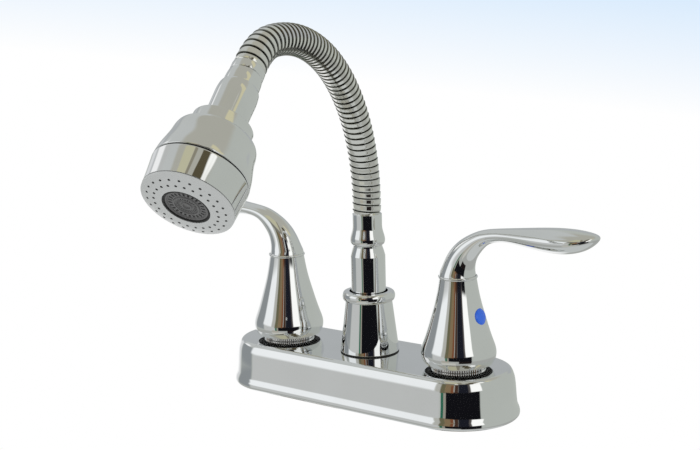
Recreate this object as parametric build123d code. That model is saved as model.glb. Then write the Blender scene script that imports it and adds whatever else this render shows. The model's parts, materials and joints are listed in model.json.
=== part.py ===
from build123d import *
import os
from math import atan2, cos, degrees, pi, radians, sin, sqrt

# Basin mixer tap with two lever handles, a ribbed gooseneck and a swivelling spray head.
# Millimetres. The deck is the plane z = 0, the user stands at -Y and the cold handle is at +X.
# The spout leaves the middle of the base, and the spray head is built on its own axis:
# its face is at height zero there and its ball joint above it.

# Base plate
handle_spacing = 101.6
plate_end_offset = 51.6
plate_height = 22.7
plate_flat_radius = 22.3
plate_edge_round = 2.8
plate_draft = 0.9
plate_wall = 1.6
foot_radius = 27.4
foot_band = 3.0
foot_round = 1.4
flare_height = 4.6
flare_step = 0.5
gasket_thickness = 0.8
gasket_margin = 1.2

# Water body under the base plate
tower_radius = 13.0
centre_tower_radius = 15.0
neck_radius = 10.5
neck_rise = 3.3
centre_neck_radius = 10.9
centre_neck_rise = 7.3
body_bar_width = 15.0
body_bar_low = 7.0
body_bar_high = 19.6
channel_radius = 3.0
channel_height = 15.5
inlet_radius = 5.5
cartridge_bore_radius = 8.8
cartridge_floor = 10.5
shank_socket_depth = 5.2

# Threaded supply shanks and what holds them under the deck
shank_radius = 10.48
shank_thread_radius = 10.3
shank_tail_radius = 10.1
shank_tail_length = 15.0
shank_bore_radius = 6.8
shank_length = 50.0
shank_spigot_radius = 9.0
deck_thickness = 22.0
washer_radius = 18.0
washer_thickness = 1.6
nut_height = 9.0
nut_hub_radius = 14.0
nut_wing_reach = 21.0
nut_wing_width = 9.0
nut_wing_count = 4

# Ceramic cartridge
fit_gap = 0.05
seat_seal_thickness = 1.5
disc_thickness = 2.5
disc_port_radius = 3.0
disc_port_offset = 3.2
cartridge_wall = 1.5
cartridge_flange_radius = 9.9
cartridge_hex_height = 5.0
cartridge_hex_radius = 8.8
gland_radius = 6.0
gland_height = 3.0
window_height = 4.0
window_width = 6.0
stem_radius = 4.0
stem_foot_height = 2.4
stem_top = 58.0
stem_teeth = 20
stem_tooth_depth = 0.3
stem_spline_length = 16.0
stem_seal_height = 1.6
stem_seal_section = 1.1

# Knurled lock ring under each handle
lock_ring_radius = 12.6
lock_ring_height = 2.9
knurl_count = 60
knurl_depth = 0.4

# Handle skirt: heights and radii as shares of its height and widest radius, foot first
skirt_gap = 2.3
skirt_height = 39.4
skirt_radius = 17.4
skirt_wall = 1.5
skirt_mouth_radius = 15.0
skirt_socket_height = 7.5
skirt_shares = [(0.0, 0.917), (0.035, 0.96), (0.123, 1.0), (0.272, 0.912), (0.42, 0.803),
                (0.563, 0.709), (0.71, 0.617), (0.855, 0.546), (1.0, 0.492)]
neck_ring_radius = 8.95
neck_ring_height = 1.3

# Lever: (reach, rise, half thickness, half width) as shares of its reach and rise and of
# the neck's radius, from the neck to the tip
lever_reach = 70.0
lever_rise = 24.0
lever_shares = [(0.0, 0.0, 1.0, 1.0), (0.008, 0.12, 0.90, 0.90), (0.029, 0.30, 0.79, 0.80),
                (0.069, 0.48, 0.67, 0.72), (0.120, 0.62, 0.56, 0.65),
                (0.193, 0.758, 0.43, 0.585), (0.300, 0.842, 0.352, 0.56),
                (0.430, 0.866, 0.405, 0.70), (0.545, 0.864, 0.51, 0.88),
                (0.670, 0.862, 0.605, 1.05), (0.800, 0.870, 0.62, 1.11),
                (0.900, 0.903, 0.49, 1.00), (0.965, 0.950, 0.28, 0.66),
                (0.995, 0.975, 0.10, 0.26)]
hub_radius = 6.3
hub_bottom = 39.0
set_screw_radius = 2.0
set_screw_length = 3.6
set_screw_socket_radius = 1.1
button_radius = 3.8
button_height = 47.8
button_depth = 3.0
button_dome = 1.0

# Spout shroud and column
shroud_foot_radius = 14.2
shroud_top_radius = 11.2
shroud_top = 47.8
bead_radius = 12.7
bead_height = 4.6
shroud_bore_radius = 9.3
shroud_gasket_thickness = 0.5
column_radius = 8.33
column_bore_radius = 4.6
column_bottom = 9.0
column_shoulder = 69.6
column_neck_radius = 7.0
column_neck_height = 74.0
column_top = 74.8
swivel_gap = 0.08
oring_height = 2.0
oring_depth = 1.1
oring_heights = [11.0, 24.0]
inlet_groove_low = 14.2
inlet_groove_high = 19.0
inlet_port_radius = 2.2
inlet_port_count = 4
clip_height = 2.0
clip_depth = 0.7
clip_width = 2.9
clip_gap = 4.0

# Lower ferrule
ferrule_bulge_radius = 8.35
ferrule_bulge_height = 77.2
ferrule_neck_radius = 7.05
ferrule_neck_height = 84.4
ferrule_length = 15.2
ferrule_spigot_radius = 6.2
ferrule_spigot_length = 9.0
ferrule_bore_radius = 3.5

# Ribbed gooseneck: its route lies in one upright plane turned from -Y towards +X
hose_plane_turn = 12.0
hose_rib_radius = 6.75
hose_root_radius = 6.0
hose_bore_radius = 4.6
hose_stub_radius = 5.6
hose_stub_length = 9.0
hose_rise = 5.5
hose_long_radius = 79.5
hose_long_turn = 96.0
hose_short_radius = 30.0
hose_short_turn = 37.5
hose_run_out = 3.2
rib_pitch = 3.2
rib_shares = [(0.06, 0.0), (0.18, 0.9), (0.72, 1.0), (0.84, 0.0)]
liner_radius = 4.4
liner_bore_radius = 3.4
liner_overhang = 3.0

# Swivel sleeve and ball stud: the ball's height above the spray face, then rises above the ball
ball_height = 33.8
hose_end_rise = 33.0
sleeve_ring_radius = 6.95
sleeve_ring_height = 4.0
sleeve_radius = 8.5
sleeve_rim_radius = 8.35
sleeve_rim_rise = 5.9
sleeve_skirt_shares = [(0.345, 0.988), (0.553, 1.0), (0.656, 0.995), (0.739, 0.965), (0.767, 0.93)]
sleeve_barrel_shares = [(0.795, 0.86), (0.916, 0.853), (1.0, 0.823)]
sleeve_bore_radius = 5.9
ball_radius = 8.0
ball_bore_radius = 2.2

# Ball nut and what sits inside it
nut_radius = 12.3
nut_top_rise = 3.9
nut_edge = 0.3
nut_opening_radius = 7.6
nut_skirt_drop = 10.0
nut_skirt_wall = 1.5
nut_cup_depth = 3.2
nut_seat_rise = 2.95
slip_ring_wall = 0.95
slip_ring_rise = 1.6
slip_ring_drop = 1.6
ball_seal_height = 2.4
ball_seal_drop = 5.2

# Spray head dome
dome_seam_radius = 19.2
dome_seam_height = 13.5
dome_height = 17.3
dome_wall = 1.6
dome_shares = [(0.0, 1.0), (0.208, 0.98), (0.451, 0.932), (0.705, 0.885), (0.83, 0.87)]
shoulder_shares = [(0.92, 0.85), (0.975, 0.82), (1.0, 0.786)]
seam_gap = 0.6
core_flange_radius = 16.0
core_flange_height = 2.4
core_hub_radius = 10.6
core_bore_radius = 5.0
water_port_radius = 1.9
water_port_offset = 5.9
spray_port_offset = 12.6
selector_turn = 60.0

# Selector ring and spray face
ring_radius = 19.25
ring_seam_radius = 19.0
ring_face_radius = 18.25
ring_shares = [(0.233, 0.956), (0.612, 0.974), (0.80, 0.987), (0.96, 1.0)]
ring_wall = 1.9
ring_lip = 1.0
face_radius = 16.8
face_thickness = 2.2
face_rim_radius = 18.1
face_rim_height = 1.0
face_bulge = 1.4
face_shares = [(0.84, 0.64), (0.69, 0.95)]
face_bore_radius = 9.45
face_gap = 0.15
spray_count = 24
spray_outer_radius = 15.22
spray_inner_radius = 12.5
spray_hole_radius = 0.5
mat_thickness = 1.6
mat_seat_radius = 11.3
aerator_radius = 9.3
aerator_length = 6.0
aerator_wall = 0.9
rubber_ring_height = 1.6
rubber_ring_radius = 9.4
screen_thickness = 1.0
screen_depth = 0.5
screen_ring_count = 4
screen_slot_width = 0.9
screen_spoke_count = 12
screen_spoke_width = 0.7
regulator_thickness = 3.0
regulator_hole_radius = 0.8
regulator_hole_count = 8

overrun = 1.0

# Levels that follow from the sizes above
plate_under = plate_height - plate_wall
cold_x = handle_spacing / 2
skirt_foot = plate_height + skirt_gap
neck_level = skirt_foot + skirt_height
neck_half = skirt_radius * skirt_shares[-1][1]
fixed_disc_level = cartridge_floor + seat_seal_thickness
moving_disc_level = fixed_disc_level + disc_thickness
stem_foot_level = moving_disc_level + disc_thickness
cartridge_radius = cartridge_bore_radius - fit_gap
cartridge_room = cartridge_radius - cartridge_wall
tower_neck_top = plate_height + neck_rise
centre_neck_top = plate_height + centre_neck_rise
shroud_foot = plate_height + shroud_gasket_thickness
socket_radius = column_radius + swivel_gap
ferrule_top = column_top + ferrule_length
hose_end_height = ball_height + hose_end_rise
nut_skirt_level = ball_height - nut_skirt_drop
core_top = ball_height - ball_seal_drop - ball_seal_height
ring_top = dome_seam_height - seam_gap
ring_foot = face_rim_height + face_gap

os.makedirs("parts", exist_ok=True)


def rod(radius, low, high):
    return Pos(0, 0, low) * Cylinder(radius, high - low, align=(Align.CENTER, Align.CENTER, Align.MIN))


def tube(outer, inner, low, high):
    return rod(outer, low, high) - rod(inner, low - overrun, high + overrun)


def turned(edges):
    """A solid turned about Z from the closed outline of its half section in X and Z."""
    return revolve(Plane.XZ * make_face(edges), Axis.Z)


def turned_polygon(points):
    return turned(Polyline(*points, close=True))


def star_rod(outer, depth, count, low, high):
    """A rod with straight teeth all round."""
    corners = []
    for k in range(2 * count):
        angle = pi * k / count
        reach = outer - depth * (k % 2)
        corners.append((reach * cos(angle), reach * sin(angle)))
    return Pos(0, 0, low) * extrude(make_face(Polyline(*corners, close=True)), high - low)


def run_along_x(half_section, half_length):
    """A bar with rounded ends: one half section, swept along X and turned at both ends."""
    flat = Plane.YZ * make_face(half_section)
    half = Pos(-half_length, 0, 0) * extrude(flat, 2 * half_length, dir=(1, 0, 0))
    whole = half + mirror(half, about=Plane.XZ)
    end = turned(half_section)
    return whole + Pos(half_length, 0, 0) * end + Pos(-half_length, 0, 0) * end


def on_both_sides(make):
    """The cold piece at +X and its mirror image, the hot piece, at -X."""
    cold = Pos(cold_x, 0, 0) * make
    return {"cold": cold, "hot": mirror(cold, about=Plane.YZ)}


def save(name, solid):
    solid.label = name
    export_step(solid, f"parts/{name}.step")


def save_pair(name, piece):
    for side, solid in on_both_sides(piece).items():
        save(f"{side}_{name}", solid)


# Base plate, gasket and water body


def plate_outline():
    wall_top = plate_flat_radius + plate_edge_round
    wall_foot = wall_top + plate_draft
    band_top = gasket_thickness + foot_round + foot_band
    wall_low = band_top + flare_height
    bottom = (foot_radius - foot_round, gasket_thickness)
    band_low = (foot_radius, gasket_thickness + foot_round)
    top_edge = (wall_top, plate_height - plate_edge_round)
    knee = (foot_radius - flare_step, band_top)
    turn = sqrt(0.5)
    return Curve() + [
        Line((0, gasket_thickness), bottom),
        ThreePointArc(bottom, (bottom[0] + foot_round * turn, band_low[1] - foot_round * turn), band_low),
        Line(band_low, knee),
        Spline(knee, (wall_foot, wall_low), tangents=[(-1, 1), (0, 1)]),
        Line((wall_foot, wall_low), top_edge),
        ThreePointArc(top_edge,
                      (plate_flat_radius + plate_edge_round * turn,
                       plate_height - plate_edge_round * (1 - turn)),
                      (plate_flat_radius, plate_height)),
        Line((plate_flat_radius, plate_height), (0, plate_height)),
        Line((0, plate_height), (0, gasket_thickness)),
    ]


def plate_hollow():
    wall_top = plate_flat_radius + plate_edge_round - plate_wall
    wall_foot = wall_top + plate_draft
    band_top = gasket_thickness + foot_round + foot_band
    return Polyline((0, -overrun), (wall_foot, -overrun), (wall_foot, band_top + flare_height),
                    (wall_top, plate_under - plate_wall), (wall_top - plate_wall, plate_under),
                    (0, plate_under), close=True)


def base_plate():
    cover = run_along_x(plate_outline(), plate_end_offset)
    cover -= run_along_x(plate_hollow(), plate_end_offset)
    for x in (-cold_x, cold_x):
        cover -= Pos(x, 0, 0) * rod(neck_radius + fit_gap, plate_under - overrun, plate_height + overrun)
    return cover - rod(centre_neck_radius + fit_gap, plate_under - overrun, plate_height + overrun)


def base_gasket():
    reach = foot_radius - gasket_margin
    sheet = Box(2 * plate_end_offset, 2 * reach, gasket_thickness,
                align=(Align.CENTER, Align.CENTER, Align.MIN))
    for x in (-plate_end_offset, plate_end_offset):
        sheet += Pos(x, 0, 0) * rod(reach, 0, gasket_thickness)
    for x in (-cold_x, cold_x):
        sheet -= Pos(x, 0, 0) * rod(shank_radius + fit_gap, -overrun, gasket_thickness + overrun)
    return sheet


def water_body():
    """Two valve towers and the spout socket, joined by a bar with the mixing channel."""
    bar_height = body_bar_high - body_bar_low
    body = Pos(0, 0, body_bar_low) * Box(handle_spacing, body_bar_width, bar_height,
                                         align=(Align.CENTER, Align.CENTER, Align.MIN))
    body += rod(centre_tower_radius, gasket_thickness, plate_under)
    body += rod(centre_neck_radius, plate_under, centre_neck_top)
    for x in (-cold_x, cold_x):
        body += Pos(x, 0, 0) * rod(tower_radius, gasket_thickness, plate_under)
        body += Pos(x, 0, 0) * rod(neck_radius, plate_under, tower_neck_top)
    channel = Rot(0, 90, 0) * Cylinder(channel_radius, handle_spacing)
    body -= Pos(0, 0, channel_height) * channel
    body -= rod(socket_radius, column_bottom - overrun, centre_neck_top + overrun)
    for x in (-cold_x, cold_x):
        body -= Pos(x, 0, 0) * rod(cartridge_bore_radius, cartridge_floor, tower_neck_top + overrun)
        body -= Pos(x, 0, 0) * rod(inlet_radius, 0, cartridge_floor + overrun)
        body -= Pos(x, 0, 0) * rod(shank_spigot_radius + fit_gap, 0,
                                   gasket_thickness + shank_socket_depth)
    return body


def supply_shank():
    """A threaded tube: plain through the deck, threaded for the nut, with a tail for the supply."""
    shank = rod(shank_radius, -deck_thickness, 0)
    shank += rod(shank_thread_radius, shank_tail_length - shank_length, gasket_thickness)
    shank += rod(shank_tail_radius, -shank_length, shank_tail_length - shank_length)
    shank += rod(shank_spigot_radius, 0, gasket_thickness + shank_socket_depth)
    return shank - rod(shank_bore_radius, -shank_length - overrun, plate_height)


def deck_washer():
    return tube(washer_radius, shank_thread_radius + fit_gap,
                -deck_thickness - washer_thickness, -deck_thickness)


def mounting_nut():
    top = -deck_thickness - washer_thickness
    nut = rod(nut_hub_radius, top - nut_height, top)
    for k in range(nut_wing_count):
        wing = Pos(nut_wing_reach / 2, 0, top - nut_height) * Box(
            nut_wing_reach, nut_wing_width, nut_height, align=(Align.CENTER, Align.CENTER, Align.MIN))
        nut += Rot(0, 0, 360 * k / nut_wing_count) * wing
    return nut - rod(shank_thread_radius + fit_gap, top - nut_height - overrun, top + overrun)


# Ceramic valve in each tower


def seat_seal():
    return tube(cartridge_room, inlet_radius, cartridge_floor, fixed_disc_level)


def ported_disc(level):
    disc = rod(cartridge_room - fit_gap, level, level + disc_thickness)
    port = rod(disc_port_radius, level - overrun, level + disc_thickness + overrun)
    return disc - Pos(0, disc_port_offset, 0) * port


def cartridge():
    flange_top = tower_neck_top + cartridge_wall
    hex_top = flange_top + cartridge_hex_height
    shell = rod(cartridge_radius, cartridge_floor, tower_neck_top)
    shell += rod(cartridge_flange_radius, tower_neck_top, flange_top)
    shell += Pos(0, 0, flange_top) * extrude(RegularPolygon(cartridge_hex_radius, 6), cartridge_hex_height)
    shell += rod(gland_radius, hex_top, hex_top + gland_height)
    foot_room = stem_foot_level + stem_foot_height + fit_gap
    shell -= rod(cartridge_room, cartridge_floor - overrun, foot_room)
    shell -= rod(stem_radius + fit_gap, foot_room - overrun, hex_top + gland_height + overrun)
    shell -= rod(stem_radius + stem_seal_section, hex_top - stem_seal_height, hex_top)
    window = Box(handle_spacing / 2, window_width, window_height)
    return shell - Pos(0, 0, moving_disc_level + disc_thickness / 2) * window


def stem_seal():
    hex_top = tower_neck_top + cartridge_wall + cartridge_hex_height
    return tube(stem_radius + stem_seal_section, stem_radius + fit_gap, hex_top - stem_seal_height, hex_top)


def stem():
    foot_top = stem_foot_level + stem_foot_height
    spindle = rod(cartridge_room - fit_gap, stem_foot_level, foot_top)
    spindle += rod(stem_radius, foot_top, stem_top - stem_spline_length)
    return spindle + star_rod(stem_radius, stem_tooth_depth, stem_teeth,
                              stem_top - stem_spline_length, stem_top)


def lock_ring():
    ring = star_rod(lock_ring_radius, knurl_depth, knurl_count, plate_height, plate_height + lock_ring_height)
    return ring - rod(neck_radius + fit_gap, plate_height - overrun, plate_height + lock_ring_height + overrun)


# Handle: skirt, neck ring, lever with its hub, set screw and index button


def skirt_points(inset):
    return [(skirt_radius * radius - inset, skirt_foot + skirt_height * height)
            for height, radius in skirt_shares]


def button_place():
    """The plane on the skirt's outer side that the index button sits on."""
    points = skirt_points(0)
    for (low_r, low_z), (high_r, high_z) in zip(points, points[1:]):
        if low_z <= button_height <= high_z:
            share = (button_height - low_z) / (high_z - low_z)
            radius = low_r + (high_r - low_r) * share
            lean = atan2(low_r - high_r, high_z - low_z)
    return Plane(origin=(radius, 0, button_height), x_dir=(0, 1, 0), z_dir=(cos(lean), 0, sin(lean)))


def skirt():
    outer = skirt_points(0)
    inner = [p for p in skirt_points(skirt_wall) if p[1] < neck_level - skirt_socket_height][1:]
    mouth = (skirt_mouth_radius, skirt_foot)
    socket = hub_radius + fit_gap
    ledge = inner[-1][1]
    shell = turned(Curve() + [
        Line(mouth, outer[0]),
        Spline(*outer),
        Line(outer[-1], (socket, neck_level)),
        Line((socket, neck_level), (socket, ledge)),
        Line((socket, ledge), inner[-1]),
        Polyline(*reversed(inner)),
        Line(inner[0], mouth),
    ])
    plug = rod(button_radius + fit_gap, -2 * button_depth, 2 * button_depth)
    return shell - button_place().location * plug


def index_button():
    dome_radius = (button_radius ** 2 + button_dome ** 2) / (2 * button_dome)
    dome = Pos(0, 0, button_dome - dome_radius) * Sphere(dome_radius)
    plug = rod(button_radius, -button_depth, button_dome) & dome
    return button_place().location * plug


def neck_ring():
    half = neck_ring_height / 2
    inner = hub_radius + fit_gap
    return turned(Curve() + [
        Line((inner, neck_level), (neck_half, neck_level)),
        ThreePointArc((neck_half, neck_level), (neck_ring_radius, neck_level + half),
                      (neck_half, neck_level + neck_ring_height)),
        Line((neck_half, neck_level + neck_ring_height), (inner, neck_level + neck_ring_height)),
        Line((inner, neck_level + neck_ring_height), (inner, neck_level)),
    ])


def lever_sections():
    """Ellipses square to the lever's centre line, from the neck to the tip."""
    start = neck_level + neck_ring_height
    centres = [(lever_reach * s[0], start + lever_rise * s[1]) for s in lever_shares]
    sections = []
    for k, share in enumerate(lever_shares):
        before = centres[max(k - 1, 0)]
        after = centres[min(k + 1, len(centres) - 1)]
        along = (0, 0, 1) if k == 0 else (after[0] - before[0], 0, after[1] - before[1])
        place = Plane(origin=(centres[k][0], 0, centres[k][1]), x_dir=(0, 1, 0), z_dir=along)
        sections.append(place * Ellipse(neck_half * share[3], neck_half * share[2]))
    return sections


def lever():
    handle = loft(lever_sections(), ruled=True)
    handle += rod(hub_radius, hub_bottom, neck_level + neck_ring_height + overrun)
    handle -= rod(stem_radius + fit_gap, hub_bottom - overrun, stem_top + fit_gap)
    hole = rod(set_screw_radius + fit_gap, 0, 2 * hub_radius)
    return handle - Pos(0, 0, button_height) * Rot(0, 90, 0) * hole


def set_screw():
    start = stem_radius + fit_gap
    screw = rod(set_screw_radius, start, start + set_screw_length)
    screw -= rod(set_screw_socket_radius, start + set_screw_length / 2, start + set_screw_length + overrun)
    return Pos(0, 0, button_height) * Rot(0, 90, 0) * screw


# Spout shroud, column and ferrule


def shroud():
    bead_foot = (shroud_top_radius, shroud_top)
    bead_top = (shroud_top_radius, shroud_top + bead_height)
    clip_top = centre_neck_top + clip_height + fit_gap
    thread = centre_neck_radius + fit_gap
    return turned(Curve() + [
        Line((thread, shroud_foot), (shroud_foot_radius, shroud_foot)),
        Line((shroud_foot_radius, shroud_foot), bead_foot),
        ThreePointArc(bead_foot, (bead_radius, shroud_top + bead_height / 2), bead_top),
        Line(bead_top, (shroud_bore_radius, shroud_top + bead_height)),
        Line((shroud_bore_radius, shroud_top + bead_height), (shroud_bore_radius, clip_top)),
        Line((shroud_bore_radius, clip_top), (thread, clip_top)),
        Line((thread, clip_top), (thread, shroud_foot)),
    ])


def shroud_gasket():
    return tube(shroud_foot_radius - fit_gap, centre_neck_radius + fit_gap, plate_height, shroud_foot)


def spout_clip():
    """An open ring in the column's groove, held down on the socket by the shroud."""
    inner = column_radius - clip_depth + swivel_gap
    ring = tube(inner + clip_width, inner, centre_neck_top, centre_neck_top + clip_height)
    slot = Pos(0, column_radius, centre_neck_top) * Box(clip_gap, 2 * column_radius, 4 * clip_height)
    return ring - slot


def column():
    shaft = turned_polygon([
        (column_bore_radius, column_bottom), (column_radius - oring_depth, column_bottom),
        (column_radius, column_bottom + oring_depth), (column_radius, column_shoulder),
        (column_radius - oring_depth / 2, column_neck_height - oring_height),
        (column_neck_radius, column_neck_height), (column_neck_radius, column_top),
        (column_bore_radius, column_top),
    ])
    for low in oring_heights:
        shaft -= tube(column_radius + overrun, column_radius - oring_depth, low, low + oring_height)
    shaft -= tube(column_radius + overrun, column_radius - oring_depth, inlet_groove_low, inlet_groove_high)
    port = Cylinder(inlet_port_radius, 2 * (column_radius + overrun))
    for k in range(inlet_port_count // 2):
        shaft -= (Pos(0, 0, (inlet_groove_low + inlet_groove_high) / 2)
                  * Rot(0, 90, 360 * k / inlet_port_count) * port)
    shaft -= tube(column_radius + overrun, column_radius - clip_depth,
                  centre_neck_top - swivel_gap, centre_neck_top + clip_height + swivel_gap)
    spigot_room = ferrule_spigot_radius + fit_gap
    return shaft - rod(spigot_room, column_top - ferrule_spigot_length - fit_gap, column_top + overrun)


def column_orings():
    return Compound(children=[tube(column_radius, column_radius - oring_depth, low, low + oring_height)
                              for low in oring_heights])


def lower_ferrule():
    socket_floor = ferrule_top - hose_stub_length
    shoulder = column_neck_radius
    shell = turned(Curve() + [
        Line((ferrule_bore_radius, column_top), (shoulder, column_top)),
        Spline((shoulder, column_top), (ferrule_bulge_radius, ferrule_bulge_height),
               (ferrule_neck_radius, ferrule_neck_height), tangents=[(1, 0), (0, 1)]),
        Line((ferrule_neck_radius, ferrule_neck_height), (ferrule_neck_radius, ferrule_top)),
        Line((ferrule_neck_radius, ferrule_top), (ferrule_bore_radius, ferrule_top)),
        Line((ferrule_bore_radius, ferrule_top), (ferrule_bore_radius, column_top)),
    ])
    shell += tube(ferrule_spigot_radius, ferrule_bore_radius,
                  column_top - ferrule_spigot_length, column_top)
    shell -= rod(hose_stub_radius + fit_gap, socket_floor, ferrule_top + overrun)
    return shell - rod(liner_radius + fit_gap, socket_floor - liner_overhang, ferrule_top + overrun)


# Gooseneck route, in its own plane: how far out from the column, how high and which way


def route_point(distance):
    """Place and heading in degrees at a distance along the hose from the lower ferrule's top."""
    long_arc = radians(hose_long_turn) * hose_long_radius
    short_arc = radians(hose_short_turn) * hose_short_radius
    out = 0
    high = ferrule_top
    if distance <= hose_rise:
        return out, high + distance, 90
    high += hose_rise
    distance -= hose_rise
    turn = degrees(min(distance, long_arc) / hose_long_radius)
    out += hose_long_radius * (1 - cos(radians(turn)))
    high += hose_long_radius * sin(radians(turn))
    distance -= long_arc
    if distance <= 0:
        return out, high, 90 - turn
    heading = radians(90 - hose_long_turn)
    centre = (out + hose_short_radius * sin(heading), high - hose_short_radius * cos(heading))
    turn = min(distance, short_arc) / hose_short_radius
    out = centre[0] - hose_short_radius * sin(heading - turn)
    high = centre[1] + hose_short_radius * cos(heading - turn)
    distance -= short_arc
    if distance > 0:
        out += distance * cos(heading - turn)
        high += distance * sin(heading - turn)
    return out, high, degrees(heading - turn)


def route_plane(distance):
    """The plane square to the hose, with its X axis square to the plane of the route."""
    out, high, heading = route_point(distance)
    side = radians(hose_plane_turn)
    ahead = (sin(side), -cos(side))
    level = cos(radians(heading))
    return Plane(origin=(out * ahead[0], out * ahead[1], high),
                 x_dir=(cos(side), sin(side), 0),
                 z_dir=(level * ahead[0], level * ahead[1], sin(radians(heading))))


hose_length = (hose_rise + radians(hose_long_turn) * hose_long_radius
               + radians(hose_short_turn) * hose_short_radius + hose_run_out)
rib_count = round(hose_length / rib_pitch)
rib_step = hose_length / rib_count


def hose_stretch(radius, low, high):
    """A smooth round bar along the hose's route, from one distance to another."""
    long_end = hose_rise + radians(hose_long_turn) * hose_long_radius
    short_end = long_end + radians(hose_short_turn) * hose_short_radius
    stops = [low, hose_rise, (hose_rise + long_end) / 2, long_end,
             (long_end + short_end) / 2, short_end, high]
    places = [route_plane(stop) for stop in stops]
    lines = [Line(places[0].origin, places[1].origin)]
    for k in (1, 3):
        lines.append(ThreePointArc(places[k].origin, places[k + 1].origin, places[k + 2].origin))
    lines.append(Line(places[5].origin, places[6].origin))
    section = places[0] * Circle(radius)
    return sweep(section, path=Wire(lines))


def gooseneck_hose():
    """A bored hose with raised bands, and a plain straight stub in the socket at each end."""
    sections = [route_plane(-hose_stub_length) * Circle(hose_stub_radius),
                route_plane(0) * Circle(hose_stub_radius)]
    for k in range(rib_count):
        for along, raised in rib_shares:
            radius = hose_root_radius + (hose_rib_radius - hose_root_radius) * raised
            sections.append(route_plane((k + along) * rib_step) * Circle(radius))
    sections.append(route_plane(hose_length) * Circle(hose_stub_radius))
    sections.append(route_plane(hose_length + hose_stub_length) * Circle(hose_stub_radius))
    body = loft(sections, ruled=True)
    return body - hose_stretch(hose_bore_radius, -hose_stub_length - overrun,
                               hose_length + hose_stub_length + overrun)


def hose_liner():
    low = -hose_stub_length - liner_overhang
    high = hose_length + hose_stub_length + liner_overhang
    outer = hose_stretch(liner_radius, low, high)
    return outer - hose_stretch(liner_bore_radius, low - overrun, high + overrun)


# Head axis: its origin is the middle of the spray face and +Z there points up to the hose


def head_place():
    end = route_plane(hose_length)
    face = end.origin + end.z_dir * hose_end_height
    return Plane(origin=face, x_dir=end.x_dir, z_dir=end.z_dir * -1).location


def upper_ferrule():
    """The short ring at the hose's end, over the sleeve's spigot."""
    low = hose_end_height - sleeve_ring_height
    return tube(sleeve_ring_radius, hose_stub_radius + fit_gap, low, hose_end_height)


def swivel_sleeve():
    rim = (sleeve_rim_radius, ball_height + sleeve_rim_rise)
    rise = hose_end_rise - sleeve_ring_height
    skirt_side = [(sleeve_radius * radius, ball_height + rise * height)
                  for height, radius in sleeve_skirt_shares]
    barrel = [(sleeve_radius * radius, ball_height + rise * height)
              for height, radius in sleeve_barrel_shares]
    top = (sleeve_bore_radius, ball_height + rise)
    foot = (sleeve_bore_radius, rim[1])
    return turned(Curve() + [
        Spline(rim, *skirt_side),
        Line(skirt_side[-1], barrel[0]),
        Spline(*barrel),
        Line(barrel[-1], top),
        Line(top, foot),
        Line(foot, rim),
    ])


def ball_stud():
    """The bored ball, with the tail that fills the sleeve up to the hose's socket."""
    stud = Pos(0, 0, ball_height) * Sphere(ball_radius)
    stud += rod(sleeve_bore_radius - fit_gap, ball_height, hose_end_height - hose_stub_length)
    stud -= rod(ball_bore_radius, ball_height - ball_radius - overrun, hose_end_height)
    return stud - rod(liner_radius + fit_gap,
                      hose_end_height - hose_stub_length - liner_overhang - fit_gap, hose_end_height)


def ball_nut():
    """A flat-topped nut round the ball, with a skirt that goes down into the dome."""
    cup = ball_radius + slip_ring_wall + 2 * fit_gap
    top = ball_height + nut_top_rise
    nut = rod(nut_radius, nut_skirt_level, top)
    nut = chamfer(nut.edges().sort_by(Axis.Z)[-1], nut_edge)
    seat = Pos(0, 0, ball_height) * Sphere(cup)
    seat &= rod(cup, ball_height, ball_height + nut_seat_rise)
    nut -= seat
    nut -= rod(nut_opening_radius, ball_height, top + overrun)
    nut -= rod(cup, ball_height - nut_cup_depth - overrun, ball_height)
    return nut - rod(nut_radius - nut_skirt_wall, nut_skirt_level - overrun,
                     ball_height - nut_cup_depth)


def slip_ring():
    """A thin round-backed ring between the ball's equator and the nut's cup."""
    outer = ball_radius + fit_gap + slip_ring_wall
    ring = Pos(0, 0, ball_height) * Sphere(outer)
    ring &= rod(outer + overrun, ball_height - slip_ring_drop, ball_height + slip_ring_rise)
    return ring - Pos(0, 0, ball_height) * Sphere(ball_radius + fit_gap)


def ball_seal():
    outer = nut_radius - nut_skirt_wall - fit_gap
    ring = rod(outer, core_top, core_top + ball_seal_height)
    ring -= Pos(0, 0, ball_height) * Sphere(ball_radius + fit_gap)
    return ring - rod(core_bore_radius, core_top - overrun, ball_height)


def dome_points(shares, inset):
    return [(dome_seam_radius * radius - inset, dome_seam_height + dome_height * height)
            for height, radius in shares]


def head_dome():
    outer = dome_points(dome_shares, 0)
    inner = dome_points(dome_shares, dome_wall)
    shoulder = dome_points(shoulder_shares, 0)
    opening = nut_radius + fit_gap
    top = dome_seam_height + dome_height
    return turned(Curve() + [
        Line(inner[0], outer[0]),
        Spline(*outer, *shoulder),
        Line(shoulder[-1], (opening, top)),
        Line((opening, top), (opening, inner[-1][1])),
        Line((opening, inner[-1][1]), inner[-1]),
        Spline(*reversed(inner)),
    ])


def inlet_core():
    """The plastic core that screws into the ball nut and carries the dome and the selector."""
    flange_top = dome_seam_height + core_flange_height
    core = rod(core_flange_radius, dome_seam_height, flange_top)
    core += rod(nut_radius, flange_top - overrun, nut_skirt_level)
    core += rod(core_hub_radius, nut_skirt_level - overrun, core_top)
    core -= rod(core_bore_radius, flange_top, core_top + overrun)
    port = rod(water_port_radius, dome_seam_height - overrun, flange_top + overrun)
    return core - Pos(water_port_offset, 0, 0) * port


def seam_ring():
    return tube(ring_seam_radius - ring_lip / 2, ring_seam_radius - 2 * ring_wall,
                ring_top, dome_seam_height)


# Selector ring, spray face and aerator


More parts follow.
